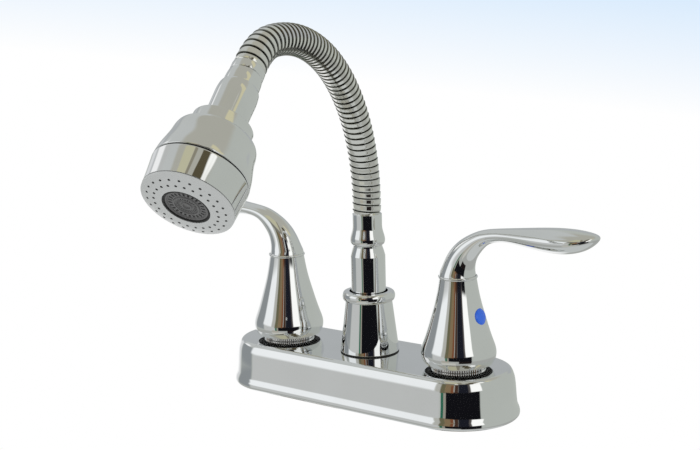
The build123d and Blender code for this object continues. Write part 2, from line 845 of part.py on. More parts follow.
def selector_ring():
    side = [(ring_radius * radius, ring_top * height) for height, radius in ring_shares]
    outer = [(ring_face_radius, ring_foot), *side, (ring_seam_radius, ring_top)]
    seat = face_radius + face_gap
    room = ring_seam_radius - ring_wall
    return turned(Curve() + [
        Line((seat, ring_foot), outer[0]),
        Spline(*outer),
        Line(outer[-1], (room, ring_top)),
        Line((room, ring_top), (room, face_thickness)),
        Line((room, face_thickness), (seat, face_thickness)),
        Line((seat, face_thickness), (seat, ring_foot)),
    ])


def spray_holes(radius, depth):
    """Two rings of spray holes, the inner ring half a step round from the outer one."""
    drill = rod(radius, -face_bulge - overrun, depth)
    holes = PolarLocations(spray_outer_radius, spray_count)
    inner = PolarLocations(spray_inner_radius, spray_count, start_angle=180 / spray_count)
    return [place * drill for place in list(holes) + list(inner)]


def face_plate():
    """A domed disc, stepped behind so that its rim covers the foot of the selector ring."""
    front = [(face_rim_radius * radius, -face_bulge * bulge) for radius, bulge in face_shares]
    middle = (face_bore_radius, -face_bulge)
    plate = turned(Curve() + [
        Spline((face_rim_radius, 0), *front, middle),
        Polyline(middle, (face_bore_radius, face_thickness), (face_radius, face_thickness),
                 (face_radius, face_rim_height), (face_rim_radius, face_rim_height),
                 (face_rim_radius, 0)),
    ])
    return plate - spray_holes(spray_hole_radius, face_thickness + overrun)


def nozzle_mat():
    low = face_thickness
    mat = tube(face_radius - ring_wall / 2, aerator_radius + fit_gap, low, low + mat_thickness)
    return mat - spray_holes(spray_hole_radius, low + mat_thickness + overrun)


def aerator_housing():
    low = rubber_ring_height
    housing = tube(aerator_radius, aerator_radius - aerator_wall, low, low + aerator_length)
    rim_low = face_thickness + mat_thickness
    return housing + tube(mat_seat_radius, aerator_radius - aerator_wall, rim_low, rim_low + mat_thickness)


def aerator_ring():
    return tube(rubber_ring_radius, aerator_radius - aerator_wall, -face_bulge, rubber_ring_height)


def aerator_screen():
    """Rings and spokes of the stream former in the middle of the face."""
    outer = aerator_radius - aerator_wall - fit_gap
    low = screen_depth - face_bulge
    step = outer / (screen_ring_count + 1 / 2)
    screen = rod(outer, low, low + screen_thickness)
    for k in range(screen_ring_count):
        rim = outer - (k + 1 / 2) * step
        screen -= tube(rim, rim - screen_slot_width, low - overrun, low + screen_thickness + overrun)
    spoke = Pos(0, 0, low) * Box(2 * outer - screen_slot_width, screen_spoke_width, screen_thickness,
                                 align=(Align.CENTER, Align.CENTER, Align.MIN))
    for k in range(screen_spoke_count // 2):
        screen += Rot(0, 0, 360 * k / screen_spoke_count) * spoke
    return screen


def flow_regulator():
    low = rubber_ring_height + aerator_length - regulator_thickness
    puck = rod(aerator_radius - aerator_wall - fit_gap, low, low + regulator_thickness)
    drill = rod(regulator_hole_radius, low - overrun, low + regulator_thickness + overrun)
    return puck - [place * drill for place in PolarLocations(aerator_radius / 2, regulator_hole_count)]


def selector_plate():
    """The plate that turns under the core's port: one port to the aerator, one to the spray holes."""
    low = rubber_ring_height + aerator_length
    middle = (low + ring_top) / 2
    plate = rod(ring_seam_radius - ring_wall - fit_gap, low, ring_top)
    plate -= Pos(water_port_offset, 0, 0) * rod(water_port_radius, low - overrun, ring_top + overrun)
    cross = Pos(water_port_offset, 0, middle) * Rot(0, 90, 0) * rod(
        water_port_radius / 2, 0, spray_port_offset - water_port_offset)
    to_spray = Pos(water_port_offset, 0, 0) * rod(water_port_radius, middle, ring_top + overrun) + cross
    to_spray += Pos(spray_port_offset, 0, 0) * rod(water_port_radius / 2, low - overrun, middle)
    return plate - Rot(0, 0, selector_turn) * to_spray


def build_base():
    save("base_gasket", base_gasket())
    save("base_plate", base_plate())
    save("water_body", water_body())
    for name, piece in [("supply_shank", supply_shank()), ("deck_washer", deck_washer()),
                        ("mounting_nut", mounting_nut()), ("seat_seal", seat_seal()),
                        ("fixed_disc", ported_disc(fixed_disc_level)), ("cartridge", cartridge()),
                        ("stem_seal", stem_seal()), ("lock_ring", lock_ring())]:
        save_pair(name, piece)
    save("spout_shroud", shroud())
    save("shroud_gasket", shroud_gasket())
    save("spout_clip", spout_clip())


def build_handles():
    for name, piece in [("moving_disc", ported_disc(moving_disc_level)), ("stem", stem()),
                        ("skirt", skirt()), ("neck_ring", neck_ring()), ("lever", lever()),
                        ("set_screw", set_screw()), ("index_button", index_button())]:
        save_pair(name, piece)


def build_spout():
    save("spout_column", column())
    save("column_orings", column_orings())
    save("lower_ferrule", lower_ferrule())
    save("gooseneck_hose", gooseneck_hose())
    save("hose_liner", hose_liner())


def build_head():
    place = head_place()
    for name, piece in [("upper_ferrule", upper_ferrule()), ("swivel_sleeve", swivel_sleeve()),
                        ("ball_stud", ball_stud()), ("ball_nut", ball_nut()),
                        ("slip_ring", slip_ring()), ("ball_seal", ball_seal()),
                        ("head_dome", head_dome()), ("inlet_core", inlet_core()),
                        ("seam_ring", seam_ring()), ("selector_ring", selector_ring()),
                        ("selector_plate", selector_plate()), ("face_plate", face_plate()),
                        ("nozzle_mat", nozzle_mat()), ("aerator_housing", aerator_housing()),
                        ("aerator_ring", aerator_ring()), ("aerator_screen", aerator_screen()),
                        ("flow_regulator", flow_regulator())]:
        save(name, place * piece)


build_base()
build_handles()
build_spout()
build_head()
print(f"hose: {hose_length:.1f} long between its ferrules, {rib_count} ribs {rib_step:.2f} apart, "
      f"bend radii {hose_long_radius} and {hose_short_radius}")
print(f"joint points: ball {head_place() * Pos(0, 0, ball_height)}, face {head_place()}")
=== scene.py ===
import json
from math import atan2, cos, pi, radians, sin

import bmesh
import bpy
import numpy as np
from mathutils import Matrix, Vector


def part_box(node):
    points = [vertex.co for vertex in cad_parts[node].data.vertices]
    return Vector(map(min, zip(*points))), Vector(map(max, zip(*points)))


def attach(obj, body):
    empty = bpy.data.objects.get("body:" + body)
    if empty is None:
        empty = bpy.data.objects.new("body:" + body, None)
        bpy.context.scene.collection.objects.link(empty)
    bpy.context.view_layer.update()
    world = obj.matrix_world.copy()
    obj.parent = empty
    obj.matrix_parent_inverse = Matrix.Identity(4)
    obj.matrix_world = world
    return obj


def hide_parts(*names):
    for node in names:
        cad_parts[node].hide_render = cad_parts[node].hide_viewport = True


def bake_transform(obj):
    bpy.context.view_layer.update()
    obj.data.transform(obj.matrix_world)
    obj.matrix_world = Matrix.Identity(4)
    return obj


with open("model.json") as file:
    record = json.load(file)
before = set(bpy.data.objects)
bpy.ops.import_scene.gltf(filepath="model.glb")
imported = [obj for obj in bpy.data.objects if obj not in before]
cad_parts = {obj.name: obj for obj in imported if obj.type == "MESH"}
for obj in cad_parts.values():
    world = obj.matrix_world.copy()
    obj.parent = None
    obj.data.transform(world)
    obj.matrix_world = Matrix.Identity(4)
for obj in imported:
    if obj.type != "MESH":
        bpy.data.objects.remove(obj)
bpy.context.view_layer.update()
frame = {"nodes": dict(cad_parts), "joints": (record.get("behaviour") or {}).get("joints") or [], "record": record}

# The finish of a basin mixer tap: bright chrome, a wound gooseneck and a pale spray face.
# Metres, on the frame's own axes. Sizes are written in millimetres times mm.

mm = 0.001

# Base plate and knurled rings
handle_x = 50.8 * mm
plate_end_x = 51.6 * mm
plate_top = 22.7 * mm
plate_foot = 0.3 * mm
plate_wall = 1.6 * mm
gasket_top = 0.8 * mm
gasket_radius = 25.0 * mm
gasket_gap = 0.1 * mm
foot_radius = 27.4 * mm
flat_radius = 22.3 * mm
plate_runs = [(90, 26, 2.68), (26, 7, 4.64), (7, 3, 5.0), (3, 7, 5.0), (7, 26, 2.32), (26, 7, 1.82),
              (7, 3, 0.43), (3, -90, 2.6)]
knurl_count = 72
knurl_depth = 0.45 * mm
knurl_wall = 2 * mm
knurl_height = 1.9 * mm

# Handles: the bell's heights and radii as shares, then the lever's shares
bell_foot = 25.0 * mm
bell_height = 39.4 * mm
bell_radius = 17.4 * mm
bell_wall = 1.5 * mm
bell_lip = 0.3 * mm
# Inner radius of the near-black ring of painted shade under each bell's foot
shade_ring_bore = 12.2 * mm
bell_shares = [(0.0, 0.917), (0.035, 0.96), (0.123, 1.0), (0.272, 0.912), (0.42, 0.803),
               (0.563, 0.709), (0.71, 0.617), (0.855, 0.546), (1.0, 0.492)]
bell_top = bell_foot + bell_height
neck_radius = bell_radius * bell_shares[-1][1]
bead_height = 1.3 * mm
lever_reach = 70 * mm
lever_rise = 24 * mm
lever_shares = [(0.0, 0.0, 1.0, 1.0), (0.008, 0.12, 0.90, 0.90), (0.029, 0.30, 0.79, 0.80),
                (0.069, 0.48, 0.67, 0.72), (0.120, 0.62, 0.56, 0.65),
                (0.193, 0.758, 0.43, 0.585), (0.300, 0.842, 0.352, 0.56),
                (0.430, 0.866, 0.405, 0.70), (0.545, 0.864, 0.51, 0.88),
                (0.670, 0.862, 0.605, 1.05), (0.800, 0.870, 0.62, 1.11),
                (0.900, 0.903, 0.49, 1.00), (0.965, 0.950, 0.28, 0.66),
                (0.995, 0.975, 0.10, 0.26), (1.0, 0.98, 0.0, 0.0)]
button_radius = 3.8 * mm
button_height = 47.8 * mm
button_dome = 1.0 * mm
button_depth = 1.4 * mm

# Shroud, column and lower ferrule; the ferrule's waist is (radius, height) in millimetres
shroud_radius = 14.2 * mm
shroud_neck = 11.2 * mm
shroud_bore = 9.3 * mm
shroud_socket = 9 * mm
shroud_bead = (1.6 * mm, 2.3 * mm)
column_foot = 30 * mm
column_radius = 8.33 * mm
column_neck = 7.0 * mm
column_top = 74.8 * mm
tube_bore = 4.6 * mm
ferrule_radius = 7.05 * mm
ferrule_bore = 5.6 * mm
ferrule_waist = [(7.0, 74.8), (7.9, 75.5), (8.35, 77.2), (7.85, 80), (7.2, 82.6), (7.05, 84.4),
                 (7.05, 86)]

# Gooseneck route, in a plane turned from -Y towards +X
plane_turn = radians(12)
hose_start = 90 * mm
hose_rise = 5.5 * mm
long_radius = 79.5 * mm
long_turn = radians(96)
short_radius = 30 * mm
short_turn = radians(37.5)
run_out = 3.2 * mm
band_count = 50
band_radius = 6.75 * mm
groove_radius = 5.9 * mm
bore_radius = 4.6 * mm
end_radius = 6.3 * mm
liner_radii = (4.4 * mm, 3.4 * mm)
liner_overhang = 12 * mm

# One band of the gooseneck: shares of the pitch, of the rise above the groove, and of its painted groove shade
band_places = [0.0, 0.035, 0.065, 0.10, 0.15, 0.35, 0.55, 0.75, 0.88, 0.945, 0.96, 0.975]
band_rises = [0.0, 0.0, 0.25, 0.58, 0.74, 0.83, 0.91, 0.98, 1.04, 1.10, 1.0, 0.0]
band_painted_shades = [1.0, 1.0, 0.8, 0.2, 0.0, 0.0, 0.0, 0.0, 0.0, 0.1, 0.8, 1.0]

# Heights along the head's axis, measured up from the rim of the spray face
hose_end_height = 66.8 * mm
cuff_length = 4.0 * mm
cuff_radius = 6.95 * mm
cuff_bore = 5.7 * mm
sleeve_bore = 5.9 * mm
sleeve_foot = 39.7 * mm
nut_radius = 12.3 * mm
nut_top = 37.7 * mm
seam_height = 13.5 * mm
seam_width = 0.6 * mm
dome_radius = 19.2 * mm
dome_height = 17.3 * mm
dome_shares = [(0.0, 1.0), (0.208, 0.98), (0.451, 0.932), (0.705, 0.885), (0.83, 0.87),
               (0.92, 0.85), (0.975, 0.82), (1.0, 0.786)]
turning_ring_radius = 19.25 * mm
turning_ring_shares = [(0.09, 0.948), (0.35, 0.961), (0.65, 0.979), (0.96, 1.0)]
face_radius = 18.1 * mm
face_bulge = 1.4 * mm
face_shares = [(1.0, 0.0), (0.84, 0.64), (0.69, 0.95), (0.52, 1.0)]
rubber_radius = 9.4 * mm
screen_radius = 8.5 * mm
hole_count = 24
hole_radius = 0.6 * mm
hole_rings = [15.22 * mm, 12.5 * mm]

# The screen's raised rings and slots: from and to a radius, then how high or deep, in millimetres
screen_rings = [(7.7, 8.45, 0.35), (4.6, 5.1, 0.45), (1.5, 2.0, 0.45), (3.2, 3.4, 0.15)]
screen_slots = [(5.9, 7.1, 1.2), (2.8, 3.9, 0.3)]
slot_count = 24


def joint(name):
    return next(j for j in frame["joints"] if j["name"] == name)


def head_place():
    """The frame matrix whose origin is the spray face's middle and whose Z points up to the hose."""
    up = -np.array(joint("selector_turn")["axis"])
    across = np.array(joint("head_tilt")["axis"])
    place = np.eye(4)
    place[:3, 0] = across
    place[:3, 1] = np.cross(up, across)
    place[:3, 2] = up
    place[:3, 3] = joint("selector_turn")["pos_m"]
    return place


upright = np.eye(4)
on_head = head_place()


# Outlines and grids


def spline(points, count):
    """Natural cubic spline through the points over their chord length, taken at even shares of it."""
    p = np.asarray(points, float)
    t = np.concatenate([[0], np.cumsum(np.linalg.norm(np.diff(p, axis=0), axis=1))])
    h = np.diff(t)
    n = len(t)
    system = np.eye(n)
    right = np.zeros_like(p)
    for i in range(1, n - 1):
        system[i, i - 1:i + 2] = h[i - 1], 2 * (h[i - 1] + h[i]), h[i]
        right[i] = 6 * ((p[i + 1] - p[i]) / h[i] - (p[i] - p[i - 1]) / h[i - 1])
    bend = np.linalg.solve(system, right)
    s = np.linspace(0, t[-1], count)
    k = np.clip(np.searchsorted(t, s, side="right") - 1, 0, n - 2)
    u = (s - t[k])[:, None]
    w = (t[k + 1] - s)[:, None]
    span = h[k][:, None]
    curve = (bend[k] * w ** 3 + bend[k + 1] * u ** 3) / (6 * span)
    return curve + (p[k] / span - bend[k] * span / 6) * w + (p[k + 1] / span - bend[k + 1] * span / 6) * u


def rounded(corners, steps=7, closed=True):
    """Straight runs between corners (x, z, radius), each corner an arc of its radius."""
    points = []
    n = len(corners)
    for i, (x, z, radius) in enumerate(corners):
        p = np.array([x, z])
        if radius == 0 or (not closed and i in (0, n - 1)):
            points.append(p)
            continue
        back = np.array(corners[i - 1][:2]) - p
        ahead = np.array(corners[(i + 1) % n][:2]) - p
        back /= np.linalg.norm(back)
        ahead /= np.linalg.norm(ahead)
        half = np.arccos(np.clip(back @ ahead, -1, 1)) / 2
        centre = p + (back + ahead) / np.linalg.norm(back + ahead) * radius / np.sin(half)
        start = p + back * radius / np.tan(half) - centre
        end = p + ahead * radius / np.tan(half) - centre
        turn = pi - 2 * half
        for share in np.linspace(0, 1, steps):
            points.append(centre + (sin((1 - share) * turn) * start + sin(share * turn) * end) / sin(turn))
    return np.array(points)


def smooth(mesh, sharpest=40):
    """Closes doubled points, turns the faces outwards, and keeps only edges over the angle sharp."""
    edit = bmesh.new()
    edit.from_mesh(mesh)
    bmesh.ops.remove_doubles(edit, verts=edit.verts, dist=1e-3 * mm)
    bmesh.ops.recalc_face_normals(edit, faces=edit.faces)
    edit.to_mesh(mesh)
    edit.free()
    mesh.shade_smooth()
    mesh.set_sharp_from_angle(angle=radians(sharpest))


def quads(rows, cols, wrap_rows, wrap_cols, first=0):
    """Corner numbers of the faces between neighbours of a grid, wrapping round where asked."""
    r, c = np.meshgrid(np.arange(rows if wrap_rows else rows - 1),
                       np.arange(cols if wrap_cols else cols - 1), indexing="ij")
    r2 = (r + 1) % rows
    c2 = (c + 1) % cols
    corners = [r * cols + c, r * cols + c2, r2 * cols + c2, r2 * cols + c]
    return first + np.stack(corners, -1).reshape(-1, 4)


def piece(name, grids, body, slot, nodes=(), sharpest=40, grooves=None):
    """A mesh from grids (points, wrap rows, wrap columns) that rides on a body and stands for nodes.
    grooves is a share of painted shade for every point, which the material reads as an attribute."""
    points = []
    faces = []
    first = 0
    for grid, wrap_rows, wrap_cols in grids:
        rows, cols = grid.shape[:2]
        points.append(grid.reshape(-1, 3))
        faces.append(quads(rows, cols, wrap_rows, wrap_cols, first))
        first += rows * cols
    mesh = bpy.data.meshes.new(name)
    mesh.from_pydata(np.concatenate(points), [], np.concatenate(faces))
    if grooves is not None:
        mesh.attributes.new("groove", "FLOAT", "POINT").data.foreach_set("value", grooves)
    smooth(mesh, sharpest)
    mesh.materials.append(materials[slot])
    made = bpy.data.objects.new(name, mesh)
    bpy.context.scene.collection.objects.link(made)
    if body:
        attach(made, body)
    if nodes:
        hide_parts(*nodes)
    return made


def placed(points, place):
    return points @ place[:3, :3].T + place[:3, 3]


def turned(outline, place=upright, steps=144):
    """Rows along the outline of (radius, height), columns round Z: x = r cos a, y = r sin a."""
    a = np.linspace(0, 2 * pi, steps, endpoint=False)
    radius = outline[:, :1]
    height = np.repeat(outline[:, 1:], steps, axis=1)
    return placed(np.stack([radius * np.cos(a), radius * np.sin(a), height], -1), place)


def ring(name, outline, body, slot, nodes=(), place=upright, steps=144):
    """A closed outline turned about the axis, clear of it."""
    return piece(name, [(turned(outline, place, steps), True, True)], body, slot, nodes)


def mirrored(points, sign):
    """The cold side's points at +X, or their mirror image at -X."""
    return points * [sign, 1, 1]


# Materials


def node(tree, kind, inputs=(), **settings):
    """A shader node whose inputs are linked where a socket is given and set otherwise."""
    made = tree.nodes.new("ShaderNode" + kind)
    for key, value in settings.items():
        setattr(made, key, value)
    for key, value in dict(inputs).items():
        if isinstance(value, bpy.types.NodeSocket):
            tree.links.new(value, made.inputs[key])
        else:
            made.inputs[key].default_value = value
    return made


def use(tree, group, values):
    return node(tree, "Group", values, node_tree=group)


def calc(tree, operation, *values):
    return node(tree, "Math", dict(enumerate(values)), operation=operation).outputs[0]


def blend(tree, share, low, high):
    """The colour that share of the way from low to high."""
    return node(tree, "Mix", {"Factor": share, 6: low, 7: high}, data_type="RGBA").outputs[2]


def ramp(tree, value, start, end, **settings):
    """0 at start, 1 at end and evenly between."""
    return node(tree, "MapRange", {"Value": value, "From Min": start, "From Max": end},
                **settings).outputs[0]


def effect(name, sockets, build):
    """A node group: sockets are (name, kind, default) going in; build returns what comes out."""
    group = bpy.data.node_groups.new(name, "ShaderNodeTree")
    for label, kind, value in sockets:
        socket = group.interface.new_socket(label, in_out="INPUT", socket_type="NodeSocket" + kind)
        if value is not None:
            socket.default_value = value
    inside = group.nodes.new("NodeGroupInput")
    outputs = build(group, inside.outputs)
    for label, (kind, _) in outputs.items():
        group.interface.new_socket(label, in_out="OUTPUT", socket_type="NodeSocket" + kind)
    outside = group.nodes.new("NodeGroupOutput")
    for label, (_, source) in outputs.items():
        group.links.new(source, outside.inputs[label])
    return group


def build_wear(tree, given):
    """Soft smudges and fine marks: two noises, one broad and one drawn out, as a mask from 0 to 1."""
    broad = node(tree, "TexNoise", {"Vector": given["Place"], "Scale": given["Smudge Scale"],
                                    "Detail": 3.0, "Roughness": 0.6})
    fine = node(tree, "TexNoise", {"Vector": given["Place"], "Scale": given["Mark Scale"],
                                   "Detail": 6.0, "Roughness": 0.7, "Distortion": 1.5})
    soft = ramp(tree, broad.outputs["Fac"], 0.4, 0.7)
    thin = ramp(tree, fine.outputs["Fac"], 0.55, 0.75)
    return {"Mask": ("Float", calc(tree, "MAXIMUM", soft, thin))}


def build_ripple(tree, given):
    """The slight unevenness of a polished and plated casting, as a bumped normal."""
    waves = node(tree, "TexNoise", {"Vector": given["Place"], "Scale": given["Scale"], "Detail": 1.0})
    bump = node(tree, "Bump", {"Height": waves.outputs["Fac"], "Strength": given["Strength"],
                               "Distance": 0.1 * mm})
    return {"Normal": ("Vector", bump.outputs["Normal"])}


def build_grain(tree, given):
    """Moulded grain: fine noise as a height and as a shade between two colours."""
    noise = node(tree, "TexNoise", {"Vector": given["Place"], "Scale": given["Scale"], "Detail": 4.0})
    shade = blend(tree, noise.outputs["Fac"], given["Low"], given["High"])
    bump = node(tree, "Bump", {"Height": noise.outputs["Fac"], "Strength": given["Strength"],
                               "Distance": 0.05 * mm})
    return {"Color": ("Color", shade), "Normal": ("Vector", bump.outputs["Normal"]),
            "Mask": ("Float", noise.outputs["Fac"])}


wear = effect("wear", [("Place", "Vector", None), ("Smudge Scale", "Float", 30.0),
                       ("Mark Scale", "Float", 400.0)], build_wear)
ripple = effect("ripple", [("Place", "Vector", None), ("Scale", "Float", 60.0),
                           ("Strength", "Float", 0.1)], build_ripple)
grain = effect("grain", [("Place", "Vector", None), ("Scale", "Float", 900.0),
                         ("Strength", "Float", 0.2), ("Low", "Color", (0.5, 0.5, 0.5, 1)),
                         ("High", "Color", (0.6, 0.6, 0.6, 1))], build_grain)


def new_material(name):
    made = bpy.data.materials.new(name)
    made.use_nodes = True
    tree = made.node_tree
    tree.nodes.clear()
    shader = node(tree, "BsdfPrincipled")
    out = node(tree, "OutputMaterial")
    tree.links.new(shader.outputs[0], out.inputs[0])
    place = node(tree, "TexCoord").outputs["Object"]
    return made, tree, shader, place


def metal(name, clean, marked, gloss, dull, ripple_scale, ripple_strength, smudge_scale=30.0):
    """Polished metal: colour and roughness move between clean and marked, over a rippled normal."""
    made, tree, shader, place = new_material(name)
    marks = use(tree, wear, {"Place": place, "Smudge Scale": smudge_scale}).outputs["Mask"]
    waves = use(tree, ripple, {"Place": place, "Scale": ripple_scale, "Strength": ripple_strength})
    rough = node(tree, "MapRange", {"Value": marks, "To Min": gloss, "To Max": dull})
    tree.links.new(blend(tree, marks, (*clean, 1), (*marked, 1)), shader.inputs["Base Color"])
    tree.links.new(rough.outputs[0], shader.inputs["Roughness"])
    tree.links.new(waves.outputs["Normal"], shader.inputs["Normal"])
    shader.inputs["Metallic"].default_value = 1.0
    return made


def moulded(name, low, high, gloss, scale=900.0, strength=0.15, coat=0.0):
    """Moulded plastic, rubber or ceramic: a shade between two colours with a fine grain."""
    made, tree, shader, place = new_material(name)
    surface = use(tree, grain, {"Place": place, "Scale": scale, "Strength": strength,
                                "Low": (*low, 1), "High": (*high, 1)})
    rough = node(tree, "MapRange", {"Value": surface.outputs["Mask"], "To Min": gloss * 0.85,
                                    "To Max": gloss * 1.15})
    tree.links.new(surface.outputs["Color"], shader.inputs["Base Color"])
    tree.links.new(rough.outputs[0], shader.inputs["Roughness"])
    tree.links.new(surface.outputs["Normal"], shader.inputs["Normal"])
    shader.inputs["Coat Weight"].default_value = coat
    return made


materials = {
    "chrome": metal("chrome", (0.83, 0.84, 0.845), (0.80, 0.81, 0.81), 0.025, 0.055, 90.0, 0.05),
    "hose_chrome": metal("hose_chrome", (0.84, 0.84, 0.81), (0.80, 0.80, 0.77), 0.08, 0.14, 300.0, 0.08),
    "brass": metal("brass", (0.75, 0.55, 0.26), (0.62, 0.45, 0.22), 0.20, 0.38, 200.0, 0.2),
    "steel": metal("steel", (0.60, 0.61, 0.62), (0.50, 0.51, 0.52), 0.25, 0.45, 250.0, 0.2),
    "ceramic": moulded("ceramic", (0.86, 0.86, 0.83), (0.91, 0.91, 0.88), 0.15, strength=0.03),
    "black_rubber": moulded("black_rubber", (0.005, 0.005, 0.005), (0.010, 0.010, 0.010), 0.6),
    "dark_plastic": moulded("dark_plastic", (0.04, 0.04, 0.043), (0.06, 0.06, 0.063), 0.4),
    "white_plastic": moulded("white_plastic", (0.80, 0.80, 0.78), (0.86, 0.86, 0.84), 0.35),
    "liner_plastic": moulded("liner_plastic", (0.68, 0.70, 0.71), (0.75, 0.77, 0.78), 0.3),
    "face_plastic": moulded("face_plastic", (0.43, 0.445, 0.44), (0.47, 0.485, 0.48), 0.25, strength=0.05),
    "screen_plastic": moulded("screen_plastic", (0.085, 0.085, 0.085), (0.12, 0.12, 0.12), 0.3),
    "blue_plastic": moulded("blue_plastic", (0.02, 0.11, 0.62), (0.03, 0.14, 0.70), 0.2, strength=0.05),
    "red_plastic": moulded("red_plastic", (0.60, 0.015, 0.02), (0.68, 0.02, 0.03), 0.2, strength=0.05),
}


def paint_groove_shade(made):
    """Painted shade: mixes the colour towards near-black where the piece's own groove attribute is high."""
    tree = made.node_tree
    base = next(n for n in tree.nodes if n.type == "BSDF_PRINCIPLED").inputs["Base Color"]
    depth = node(tree, "Attribute", attribute_name="groove").outputs["Fac"]
    # The near-black colour is painted shade for the hose's grooves.
    tree.links.new(blend(tree, depth, base.links[0].from_socket, (0.10, 0.105, 0.09, 1)), base)


# The gooseneck's chrome gets painted shade in its grooves.
paint_groove_shade(materials["hose_chrome"])


def dress_nodes():
    """Every CAD node gets the material of its slot."""
    slots = {part["node"]: part["material_slot"] for part in frame["record"]["subparts"]}
    for name, made in frame["nodes"].items():
        made.data.materials.clear()
        made.data.materials.append(materials[slots[name]])


# Base


def plate_section():
    """Half section of the plate, from the middle of its top round the outside to its underside. Along
    each run of the outside, (first tilt, last tilt, share of length), the tilt changes evenly; it is
    90 degrees on the flat top and 0 on an upright wall."""
    count = 20
    middles = (np.arange(count) + 0.5) / count
    tilts = [(first + (last - first) * middle, share / count)
             for first, last, share in plate_runs for middle in middles]
    tilt, step = np.array(tilts).T
    out = np.concatenate([[0], np.cumsum(step * np.sin(np.radians(tilt)))])
    down = np.concatenate([[0], np.cumsum(step * np.cos(np.radians(tilt)))])
    scale = (plate_top - plate_foot) / down[-1]
    outside = np.stack([foot_radius + (out - out.max()) * scale, plate_top - down * scale], -1)
    rim = gasket_radius + gasket_gap
    ceiling = plate_top - plate_wall
    inside = np.array([(rim, plate_foot), (rim, gasket_top + gasket_gap),
                       (flat_radius - plate_wall, ceiling), (0, ceiling)])
    return np.concatenate([[(0, plate_top)], outside, inside])


def stadium(outline, steps=72):
    """Rows along the outline, columns round a straight bar with round ends at plus and minus X."""
    turn = np.linspace(-pi / 2, pi / 2, steps)
    angle = np.concatenate([turn, turn + pi])
    shift = np.concatenate([np.full(steps, plate_end_x), np.full(steps, -plate_end_x)])
    radius = outline[:, :1]
    height = np.repeat(outline[:, 1:], 2 * steps, axis=1)
    return np.stack([shift + radius * np.cos(angle), radius * np.sin(angle), height], -1)


def make_base():
    """The plate's section and the gasket's, each carried round the same straight bar."""
    piece("plate_shell", [(stadium(plate_section()), False, True)], "deck", "chrome", ["base_plate"])
    sheet = np.array([(0, gasket_top), (gasket_radius, gasket_top), (gasket_radius, 0), (0, 0)])
    piece("foot_gasket", [(stadium(sheet), False, True)], "deck", "black_rubber", ["base_gasket"])
    make_knurled_rings()


def make_knurled_rings():
    """A ring whose lower band is cut by teeth: there the radius shrinks by depth times a cosine squared."""
    low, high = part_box("cold_lock_ring")
    radius = (high.x - low.x) / 2
    bore = radius - knurl_wall
    foot, top = low.z, high.z
    outline = rounded([(bore, foot, 0), (radius, foot, 0.25 * mm), (radius, foot + knurl_height, 0.2 * mm),
                       (radius - 0.3 * mm, foot + knurl_height + 0.2 * mm, 0.1 * mm),
                       (radius - 0.35 * mm, top, 0.25 * mm), (bore, top, 0)], steps=4)
    steps = knurl_count * 8
    points = turned(outline, steps=steps)
    tooth = 0.5 + 0.5 * np.cos(np.linspace(0, 2 * pi * knurl_count, steps, endpoint=False))
    cut = 1 - np.where((outline[:, 0] > radius - 0.2 * mm)[:, None], tooth ** 2 * knurl_depth / radius, 0)
    points[..., :2] *= cut[..., None]
    for side, sign in (("cold", 1), ("hot", -1)):
        piece(f"{side}_knurled_ring", [(mirrored(points + [handle_x, 0, 0], sign), True, True)],
              "deck", "chrome", [f"{side}_lock_ring"], sharpest=60)


# Handles


def bell_outline(inset=0.0):
    """The bell's outside from foot to neck, as shares of its radius and height, moved in by inset."""
    return np.array([(bell_radius * radius - inset, bell_foot + bell_height * height)
                     for height, radius in bell_shares])


def bell_section():
    """A closed loop: the rounded rim of the foot, the smooth outside and the inside one wall in."""
    outer = spline(bell_outline(), 60)
    inner = spline(bell_outline(bell_wall), 40)[4:][::-1]
    edge = outer[0][0]
    foot = rounded([(*outer[2], 0), (edge, bell_foot, 0.15 * mm), (edge - bell_lip, bell_foot, 0),
                    (edge - bell_lip - 0.1 * mm, bell_foot + 1 * mm, 0)],
                   steps=5, closed=False)[::-1]
    return np.concatenate([foot, outer[3:], inner])


def shade_ring_section():
    """A near-black ring that closes the bell's foot, clear of the knurled ring: painted shade
    for the hollow under the bell.
    """
    low, high = bell_foot + 0.15 * mm, bell_foot + 0.8 * mm
    outer = bell_radius * bell_shares[0][1] - bell_lip - 0.05 * mm
    return np.array([(shade_ring_bore, low), (outer, low), (outer, high), (shade_ring_bore, high)])


def bead_section():
    """A half circle that bulges from the bell's neck, with an upright back 2 mm inside the neck."""
    half = bead_height / 2
    a = np.linspace(-pi / 2, pi / 2, 9)
    outer = np.stack([neck_radius - 0.15 * mm + half * np.cos(a), bell_top + half + half * np.sin(a)], -1)
    inner = [(neck_radius - 2 * mm, bell_top + bead_height), (neck_radius - 2 * mm, bell_top)]
    return np.concatenate([outer, inner])


def lever_grid(steps=64):
    """Ellipses square to a curved centre line: half thickness and half width change along it."""
    start = bell_top + bead_height
    scale = [lever_reach, lever_rise, neck_radius, neck_radius]
    line = spline(np.array(lever_shares) * scale, 150)
    along = np.gradient(line[:, :2], axis=0)
    along[0] = (0, 1)
    along /= np.linalg.norm(along, axis=1)[:, None]
    a = np.linspace(0, 2 * pi, steps, endpoint=False)
    lift = line[:, 2:3] * np.cos(a)
    reach = line[:, 0:1] - along[:, 1:2] * lift
    height = start + line[:, 1:2] + along[:, 0:1] * lift
    points = np.stack([reach, line[:, 3:4] * np.sin(a), height], -1)
    foot = np.array([[[0, 0, start]]]).repeat(steps, axis=1)
    return np.concatenate([foot, points])


def button_place(sign):
    """The frame matrix on the bell's outer side, with Z pointing out of the bell."""
    outline = bell_outline()
    radius = np.interp(button_height, outline[:, 1], outline[:, 0])
    k = np.searchsorted(outline[:, 1], button_height)
    fall = outline[k - 1] - outline[k]
    lean = atan2(fall[0], -fall[1])
    place = np.eye(4)
    place[:3, 0] = (0, 1, 0)
    place[:3, 1] = (-sin(lean) * sign, 0, cos(lean))
    place[:3, 2] = (cos(lean) * sign, 0, sin(lean))
    place[:3, 3] = ((handle_x + radius) * sign, 0, button_height)
    return place


